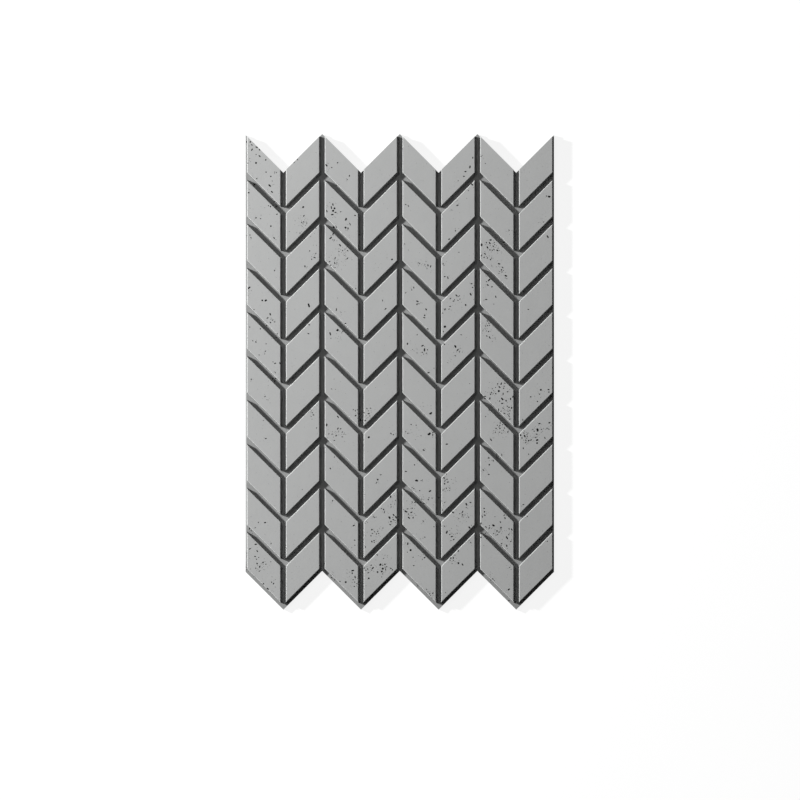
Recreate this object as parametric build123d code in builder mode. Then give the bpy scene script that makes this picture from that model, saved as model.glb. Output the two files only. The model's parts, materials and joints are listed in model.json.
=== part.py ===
"""Decorative concrete cladding panel with a raised chevron relief, cast in one piece.

The panel lies on its back: X runs across the chevron columns, Y up along them and Z out of the face.
The origin is on the back face, at the middle of the panel's outline. All lengths are in millimetres.
"""

import os
from math import radians, sqrt, tan

from build123d import *

# Relief grid: columns of slanted tiles, each column leaning the other way to its neighbour at 45 degrees
COLUMNS = 8
ROWS = 10
COLUMN_PITCH = 75.0
ROW_PITCH = 85.0

# Grooves between the tiles, measured at right angles to the groove, at the level of the tile faces
GROOVE_MOUTH = 11.0
DRAFT_ANGLE = 4.0
ARRIS_RADIUS = 1.0

# Heights above the back face
BASE_THICKNESS = 10.0
RELIEF_HEIGHT = 12.0

# Joint left open between neighbouring panels on the wall, at right angles to their edges
JOINT_WIDTH = 4.0

# A length at right angles to a 45 degree edge, times this, is the same length along Y
ALONG_Y = sqrt(2)

GRID_WIDTH = COLUMNS * COLUMN_PITCH
PANEL_WIDTH = GRID_WIDTH - JOINT_WIDTH
COLUMN_LENGTH = ROWS * ROW_PITCH - JOINT_WIDTH * ALONG_Y
TOOTH_DEPTH = COLUMN_PITCH
PEAK_Y = (COLUMN_LENGTH + TOOTH_DEPTH) / 2
PANEL_THICKNESS = BASE_THICKNESS + RELIEF_HEIGHT

# Each tile's walls spread outwards by the draft on their way down to the base
DRAFT_SPREAD = RELIEF_HEIGHT * tan(radians(DRAFT_ANGLE))
FOOT_GAP = GROOVE_MOUTH - 2 * DRAFT_SPREAD
FOOT_WIDTH = COLUMN_PITCH - FOOT_GAP
FOOT_HEIGHT = ROW_PITCH - FOOT_GAP * ALONG_Y

# The top row's faces run past the outline by this much along Y, before they are trimmed to it
TOP_OVERRUN = 2 * DRAFT_SPREAD * ALONG_Y


def zigzag_y(x):
    """Y of the upper outline at x: peaks on the even grid lines, valleys on the odd ones."""
    run = (x + GRID_WIDTH / 2) % (2 * COLUMN_PITCH)
    return PEAK_Y - min(run, 2 * COLUMN_PITCH - run)


def outline_points():
    """Corners of the outline: the lower zigzag from left to right, then the upper one back again."""
    inner_lines = [COLUMN_PITCH * n - GRID_WIDTH / 2 for n in range(1, COLUMNS)]
    stations = [-PANEL_WIDTH / 2, *inner_lines, PANEL_WIDTH / 2]
    upper = [(x, zigzag_y(x)) for x in stations]
    lower = [(x, y - COLUMN_LENGTH) for x, y in upper]
    return lower + upper[::-1]


def foot_corners(slope, height):
    """Corners of one tile's foot, a parallelogram hung from the middle of its upper edge at (0, 0).

    The slope is that of its upper and lower edges towards +X: 1 where they rise, -1 where they fall.
    """
    half = FOOT_WIDTH / 2
    rise = slope * half
    return [(-half, -rise - height), (half, rise - height), (half, rise), (-half, -rise)]


def make_tile(slope, height):
    """One raised tile with drafted walls and a rounded arris, on a foot of the given height along Y."""
    with BuildPart() as tile:
        with BuildSketch():
            Polygon(*foot_corners(slope, height), align=None)
        extrude(amount=RELIEF_HEIGHT, taper=DRAFT_ANGLE)
        fillet(tile.faces().sort_by(Axis.Z)[-1].edges(), radius=ARRIS_RADIUS)
    return tile.part


def tile_places(column):
    """Middle of the upper edge of each tile's foot in a column, from the top row down."""
    x = COLUMN_PITCH * (column + 0.5) - GRID_WIDTH / 2
    top = zigzag_y(x) + DRAFT_SPREAD * ALONG_Y
    return [(x, top - ROW_PITCH * row, BASE_THICKNESS) for row in range(ROWS)]


# One tile for each slope, and a taller one for the top row
SLOPES = (-1, 1)
tiles = {slope: make_tile(slope, FOOT_HEIGHT) for slope in SLOPES}
top_tiles = {slope: make_tile(slope, FOOT_HEIGHT + TOP_OVERRUN) for slope in SLOPES}

with BuildPart() as panel:
    # Base slab with its toothed ends
    with BuildSketch() as slab:
        with BuildLine():
            Polyline(*outline_points(), close=True)
        make_face()
    extrude(amount=BASE_THICKNESS)

    # Columns of tiles, sloping one way and the other in turn: the top tile of each runs past the outline
    for column in range(COLUMNS):
        slope = SLOPES[column % 2]
        (top_x, top_y, level), *others = tile_places(column)
        with Locations((top_x, top_y + TOP_OVERRUN, level)):
            add(top_tiles[slope])
        with Locations(*others):
            add(tiles[slope])

    # Trimming to the outline leaves the top row's upper walls upright and flush with the slab
    with BuildSketch():
        add(slab.sketch)
    extrude(amount=PANEL_THICKNESS, mode=Mode.INTERSECT)

panel.part.label = "panel"

os.makedirs("parts", exist_ok=True)
export_step(panel.part, "parts/panel.step")
print(
    f"panel {PANEL_WIDTH:.1f} x {COLUMN_LENGTH + TOOTH_DEPTH:.1f} x {PANEL_THICKNESS:.1f} mm, "
    f"{panel.part.volume / 1e6:.3f} litres"
)
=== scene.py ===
# %% [markdown]
# # A concrete cladding panel with a chevron relief
#
# The real panel is one piece of fine grey concrete, poured into a flat mould. Its face carries eighty
# raised, slanted tiles in eight columns. Between them run grooves with drafted walls, because the mould
# has to come off. The upper and lower ends are toothed, so that panels interlock on the wall. Here the
# panel lies on its back.
#
# The exact shape comes ready from the CAD frame. This lesson adds what the eye looks for in cast concrete:
# air pits that opened at the surface, small nicks in the arrises, and a mottled, grainy, matt finish.

import json
import math
import random
from collections import namedtuple

import bmesh
import bpy
from mathutils import Matrix, Vector
from mathutils.bvhtree import BVHTree

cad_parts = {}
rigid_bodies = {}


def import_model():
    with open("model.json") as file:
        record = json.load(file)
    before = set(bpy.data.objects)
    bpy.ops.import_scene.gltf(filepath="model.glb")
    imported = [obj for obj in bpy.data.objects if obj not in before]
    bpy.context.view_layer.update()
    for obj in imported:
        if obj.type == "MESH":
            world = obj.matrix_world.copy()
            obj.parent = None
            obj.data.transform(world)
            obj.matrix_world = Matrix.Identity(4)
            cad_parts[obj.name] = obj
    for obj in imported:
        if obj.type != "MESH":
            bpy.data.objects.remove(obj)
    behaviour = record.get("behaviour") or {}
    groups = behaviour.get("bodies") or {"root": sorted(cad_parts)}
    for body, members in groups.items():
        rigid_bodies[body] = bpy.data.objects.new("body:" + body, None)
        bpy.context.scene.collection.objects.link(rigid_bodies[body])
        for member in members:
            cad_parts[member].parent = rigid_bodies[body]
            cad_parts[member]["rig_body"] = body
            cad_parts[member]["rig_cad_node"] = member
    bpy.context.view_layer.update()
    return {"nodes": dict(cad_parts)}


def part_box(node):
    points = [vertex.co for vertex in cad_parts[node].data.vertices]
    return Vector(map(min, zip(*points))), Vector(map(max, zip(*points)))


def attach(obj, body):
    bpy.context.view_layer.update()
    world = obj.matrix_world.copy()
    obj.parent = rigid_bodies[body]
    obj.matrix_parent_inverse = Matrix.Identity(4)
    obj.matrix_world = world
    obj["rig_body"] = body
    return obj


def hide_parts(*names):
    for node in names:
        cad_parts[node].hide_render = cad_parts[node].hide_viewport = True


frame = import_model()
panel_low, panel_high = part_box("panel")
print("panel size in mm:", [round(side * 1000, 1) for side in panel_high - panel_low])

# %% [markdown]
# ## Measures
#
# Everything is placed by the tile grid of the panel: a column and a row name a tile, and two shares, across
# and down, name a point on it. The shares keep the numbers readable. One function turns them into metres.

# %% Tile grid
MM = 0.001
COLUMNS = 8
ROWS = 10
COLUMN_PITCH = 75 * MM
ROW_PITCH = 85 * MM
GROOVE_MOUTH = 11 * MM
BASE_THICKNESS = 10 * MM
ALONG_Y = math.sqrt(2)
PEAK_Y = panel_high.y
FACE_Z = panel_high.z
COLUMN_LENGTH = panel_high.y - panel_low.y - COLUMN_PITCH


def upper_outline(x):
    """Y of the toothed upper outline at x: it falls and rises at 45 degrees, one column at a time."""
    run = (x + COLUMNS / 2 * COLUMN_PITCH) % (2 * COLUMN_PITCH)
    return PEAK_Y - min(run, 2 * COLUMN_PITCH - run)


def tile_point(column, row, across, down):
    """Point in plan on a tile's cell: across from its left side, down from its upper edge."""
    x = (column + across - COLUMNS / 2) * COLUMN_PITCH
    return x, upper_outline(x) - (row + down) * ROW_PITCH


print("middle of the first tile:", tile_point(0, 0, 0.5, 0.5))

# %% [markdown]
# ## Camera
#
# The photograph shows no perspective at all: all columns are equally wide, and no wall of a far tile shows
# more than a near one's. An orthographic camera would do, but a long lens far away looks the same and stays
# a real camera. It looks straight down on the panel, with the panel a little above the middle of the
# picture. The picture's side and the panel's place in it are in pixels.

# %% Camera
PICTURE_SIDE = 800
PIXEL = 1.93 * MM
PANEL_ABOVE_MIDDLE = 28.2
PANEL_LEFT_OF_MIDDLE = 0.2
LENS = 200.0
SENSOR = 36.0
FAR_CLIP = 100

view_width = PICTURE_SIDE * PIXEL
distance = view_width * LENS / SENSOR
camera_place = (PANEL_LEFT_OF_MIDDLE * PIXEL, -PANEL_ABOVE_MIDDLE * PIXEL, FACE_Z + distance)
bpy.ops.object.camera_add(location=camera_place, rotation=(0, 0, 0))
camera = bpy.context.object
camera.name = "camera"
camera.data.lens = LENS
camera.data.sensor_width = SENSOR
camera.data.clip_end = FAR_CLIP
bpy.context.scene.camera = camera
print("camera height:", round(distance, 2), "m, view width:", round(view_width, 3), "m")

# %% [markdown]
# ## Light
#
# A round lamp stands to the upper left of the panel, low enough for the tiles to throw their shadows across
# the grooves, and near enough for the face to darken towards the right. Its size softens the shadows' edges.
# A second, much weaker and larger lamp stands higher. It reaches the floors of the falling grooves, and the
# far half of all other floors, which stay dark beside the wall on the lamp's side. A third lights the back
# from below, for whoever looks at the panel from there.

# %% Lamps
LAMP_DISTANCE = 5.0
KEY_TURN = math.radians(20.5)
KEY_HEIGHT = math.radians(29.0)
KEY_SIZE = 0.4
KEY_POWER = 413.0
SOFT_TURN = math.radians(45.0)
SOFT_HEIGHT = math.radians(60.0)
SOFT_SIZE = 1.2
SOFT_POWER = 31.0
BACK_TURN = math.radians(160.0)
BACK_HEIGHT = math.radians(-35.0)
BACK_SIZE = 1.0
BACK_POWER = 300.0


def towards(turn, height):
    """Unit vector to a lamp: turn leads from the left side up the panel, height is above the floor."""
    level = math.cos(height)
    return Vector((-level * math.cos(turn), level * math.sin(turn), math.sin(height)))


def add_lamp(name, direction, size, power):
    """A round area lamp that looks at the panel from the given direction."""
    bpy.ops.object.light_add(type="AREA", location=direction * LAMP_DISTANCE)
    lamp = bpy.context.object
    lamp.name = name
    lamp.data.shape = "DISK"
    lamp.data.size = size
    lamp.data.energy = power
    lamp.rotation_euler = direction.to_track_quat("Z", "Y").to_euler()
    print(name, "at", [round(c, 2) for c in lamp.location])


add_lamp("key_lamp", towards(KEY_TURN, KEY_HEIGHT), KEY_SIZE, KEY_POWER)
add_lamp("soft_lamp", towards(SOFT_TURN, SOFT_HEIGHT), SOFT_SIZE, SOFT_POWER)
add_lamp("back_lamp", towards(BACK_TURN, BACK_HEIGHT), BACK_SIZE, BACK_POWER)

# %% [markdown]
# The world has two sides. It lights the panel with a dim fill, which leaves the shadows deep. Where a ray
# from the camera meets it, it shows white instead. A mix between the two tells the rays apart, and the floor
# needs the same choice later, so the mask for it is a helper.

# %% World
FILL_STRENGTH = 0.01
WHITE = (1, 1, 1, 1)


def add_shown_white(nodes, links):
    """Adds a mask that is 1 where a ray from the camera, a mirror or glass arrives."""
    path = nodes.new("ShaderNodeLightPath")
    first = nodes.new("ShaderNodeMath")
    first.operation = "MAXIMUM"
    links.new(path.outputs["Is Camera Ray"], first.inputs[0])
    links.new(path.outputs["Is Glossy Ray"], first.inputs[1])
    both = nodes.new("ShaderNodeMath")
    both.operation = "MAXIMUM"
    links.new(first.outputs[0], both.inputs[0])
    links.new(path.outputs["Is Transmission Ray"], both.inputs[1])
    return both.outputs[0]


world = bpy.data.worlds.new("studio")
bpy.context.scene.world = world
world.use_nodes = True
world_nodes = world.node_tree.nodes
world_links = world.node_tree.links
world_nodes.clear()
fill = world_nodes.new("ShaderNodeBackground")
fill.inputs["Strength"].default_value = FILL_STRENGTH
fill.inputs["Color"].default_value = WHITE
shown = world_nodes.new("ShaderNodeBackground")
shown.inputs["Color"].default_value = WHITE
mix = world_nodes.new("ShaderNodeMixShader")
world_out = world_nodes.new("ShaderNodeOutputWorld")
world_links.new(add_shown_white(world_nodes, world_links), mix.inputs["Fac"])
world_links.new(fill.outputs[0], mix.inputs[1])
world_links.new(shown.outputs[0], mix.inputs[2])
world_links.new(mix.outputs[0], world_out.inputs["Surface"])
bpy.context.scene.view_settings.view_transform = "Standard"
print("fill strength:", FILL_STRENGTH)

# %% [markdown]
# ## Floor
#
# The panel lies on a plain floor. Seen by the camera the floor glows a little, which makes it white, and
# part of it stays an ordinary matt surface, so that it still takes a faint shadow. To every other ray it is
# a plain grey surface. It has an opening under the panel, a little smaller than the panel, and can be looked
# through from below, so that the back can be seen and gets light. Nothing of that shows from above.

# %% Floor sheet
FLOOR_SIDE = 12.0
FLOOR_DROP = 0.2 * MM
OPENING_MARGIN = 1 * MM


def opening_corners():
    """Corners of the opening, just inside the panel's outline."""
    inner_lines = [(n - COLUMNS / 2) * COLUMN_PITCH for n in range(1, COLUMNS)]
    side = panel_high.x - OPENING_MARGIN
    stations = [-side, *inner_lines, side]
    upper = [(x, upper_outline(x) - OPENING_MARGIN) for x in stations]
    lower = [(x, upper_outline(x) - COLUMN_LENGTH + OPENING_MARGIN) for x in stations]
    return upper + lower[::-1]


def add_loop(mesh, corners):
    """A closed loop of edges through the corners, at the level of the floor."""
    points = [mesh.verts.new((x, y, -FLOOR_DROP)) for x, y in corners]
    return [mesh.edges.new(pair) for pair in zip(points, points[1:] + points[:1])]


half = FLOOR_SIDE / 2
sheet = bmesh.new()
loops = add_loop(sheet, [(-half, -half), (half, -half), (half, half), (-half, half)])
loops += add_loop(sheet, opening_corners())
bmesh.ops.triangle_fill(sheet, edges=loops, use_beauty=True, normal=(0, 0, 1))
floor = bpy.data.objects.new("floor", bpy.data.meshes.new("floor"))
sheet.to_mesh(floor.data)
sheet.free()
bpy.context.collection.objects.link(floor)
print("floor faces:", len(floor.data.polygons), "facing", floor.data.polygons[0].normal.z)

# %% Floor paint
FLOOR_GLOW = 0.88
FLOOR_SHADED = 0.18
FLOOR_GREY = 0.3

floor_paint = bpy.data.materials.new("floor_paint")
floor_paint.use_nodes = True
floor_nodes = floor_paint.node_tree.nodes
floor_links = floor_paint.node_tree.links
floor_nodes.clear()
plain = floor_nodes.new("ShaderNodeBsdfDiffuse")
plain.inputs["Color"].default_value = (FLOOR_GREY, FLOOR_GREY, FLOOR_GREY, 1)
shaded = floor_nodes.new("ShaderNodeBsdfDiffuse")
shaded.inputs["Color"].default_value = (FLOOR_SHADED, FLOOR_SHADED, FLOOR_SHADED, 1)
glow = floor_nodes.new("ShaderNodeEmission")
glow.inputs["Strength"].default_value = FLOOR_GLOW
white = floor_nodes.new("ShaderNodeAddShader")
choice = floor_nodes.new("ShaderNodeMixShader")
side_seen = floor_nodes.new("ShaderNodeNewGeometry")
clear = floor_nodes.new("ShaderNodeBsdfTransparent")
either = floor_nodes.new("ShaderNodeMixShader")
floor_out = floor_nodes.new("ShaderNodeOutputMaterial")
floor_links.new(shaded.outputs[0], white.inputs[0])
floor_links.new(glow.outputs[0], white.inputs[1])
floor_links.new(add_shown_white(floor_nodes, floor_links), choice.inputs["Fac"])
floor_links.new(plain.outputs[0], choice.inputs[1])
floor_links.new(white.outputs[0], choice.inputs[2])
floor_links.new(side_seen.outputs["Backfacing"], either.inputs["Fac"])
floor_links.new(choice.outputs[0], either.inputs[1])
floor_links.new(clear.outputs[0], either.inputs[2])
floor_links.new(either.outputs[0], floor_out.inputs["Surface"])
floor.data.materials.append(floor_paint)
print("floor paint nodes:", len(floor_nodes))

# %% [markdown]
# ## The cast body
#
# The CAD node already has the right shape, with every groove, wall and arris. Pits can't be cut into it,
# because CAD nodes stay as they are, so a copy is made. The CAD mesh is loose triangles: merging its doubles
# closes it, and a limited dissolve joins the triangles of each flat face again, which makes the cuts to come
# cleaner. The copy also brings the normals of the CAD frame along. They would be wrong after the cuts, so
# they are cleared.

# %% Copy the CAD node
MERGE_DISTANCE = 0.001 * MM
FLAT_ANGLE = math.radians(0.1)


def pick_only(obj):
    """Makes obj the only selected object, and the active one."""
    bpy.ops.object.select_all(action="DESELECT")
    obj.select_set(True)
    bpy.context.view_layer.objects.active = obj


pick_only(frame["nodes"]["panel"])
bpy.ops.object.duplicate()
cast_panel = bpy.context.object
cast_panel.name = "cast_panel"
cast_panel.data.name = "cast_panel"
cast_panel.parent = None
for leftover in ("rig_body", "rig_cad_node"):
    del cast_panel[leftover]
bpy.ops.object.mode_set(mode="EDIT")
bpy.ops.mesh.select_all(action="SELECT")
bpy.ops.mesh.remove_doubles(threshold=MERGE_DISTANCE)
bpy.ops.mesh.dissolve_limited(angle_limit=FLAT_ANGLE)
bpy.ops.object.mode_set(mode="OBJECT")
bpy.ops.mesh.customdata_custom_splitnormals_clear()
surface = BVHTree.FromObject(cast_panel, bpy.context.evaluated_depsgraph_get())
print("merged copy:", len(cast_panel.data.vertices), "points,", len(cast_panel.data.polygons), "faces")

# %% [markdown]
# ## Pit shapes
#
# Air bubbles that cling to the mould leave small pits, mostly round, some run together into ovals and short
# worms. A few shapes are modelled as closed lumps one unit wide: a ball, its two ends pulled apart
# and bent the same way, and then made uneven. Every pit is a copy of one of them, turned and sized its own
# way. The small shapes have few faces, because they are repeated most.

# %% Model the pit shapes
END_START = 0.12
UNEVEN = 0.09
EVEN_OUT = 0.4


def select_points(obj, chosen):
    """Selects, in edit mode, the points whose place passes the test."""
    edited = bmesh.from_edit_mesh(obj.data)
    for point in edited.verts:
        point.select_set(chosen(point.co))
    edited.select_flush_mode()
    bmesh.update_edit_mesh(obj.data)


def model_pit(name, steps, stretch, bend, seed):
    """A lump one unit wide, and its length: stretch pulls its ends apart, bend moves both sideways."""
    bpy.ops.mesh.primitive_ico_sphere_add(subdivisions=steps, radius=0.5)
    pit = bpy.context.object
    pit.name = name
    bpy.ops.object.mode_set(mode="EDIT")
    for side in (-1, 1):
        select_points(pit, lambda place: side * place.x > END_START)
        bpy.ops.transform.translate(value=(side * stretch / 2, bend, 0))
    bpy.ops.mesh.select_all(action="SELECT")
    bpy.ops.transform.vertex_random(offset=UNEVEN, seed=seed)
    bpy.ops.mesh.vertices_smooth(factor=EVEN_OUT)
    bpy.ops.object.mode_set(mode="OBJECT")
    shape = pit.data.copy()
    bpy.data.objects.remove(pit)
    return shape, 1 + stretch


TINY_PITS = [
    model_pit(f"pit_tiny_{n}", steps=1, stretch=0.3 * n, bend=0, seed=5 + n) for n in range(3)
]
ROUND_PITS = [
    model_pit(f"pit_round_{n}", steps=2, stretch=0.25 * n, bend=0.04 * n, seed=10 + n) for n in range(5)
]
LARGE_PITS = [
    model_pit(f"pit_large_{n}", steps=3, stretch=0.2 * n, bend=0.05 * n, seed=20 + n) for n in range(4)
]
WORM_PITS = [
    model_pit(f"pit_worm_{n}", steps=3, stretch=1.3 + 0.4 * n, bend=0.1 * n, seed=30 + n) for n in range(3)
]
print("pit shapes:", len(TINY_PITS) + len(ROUND_PITS) + len(LARGE_PITS) + len(WORM_PITS))
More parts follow.
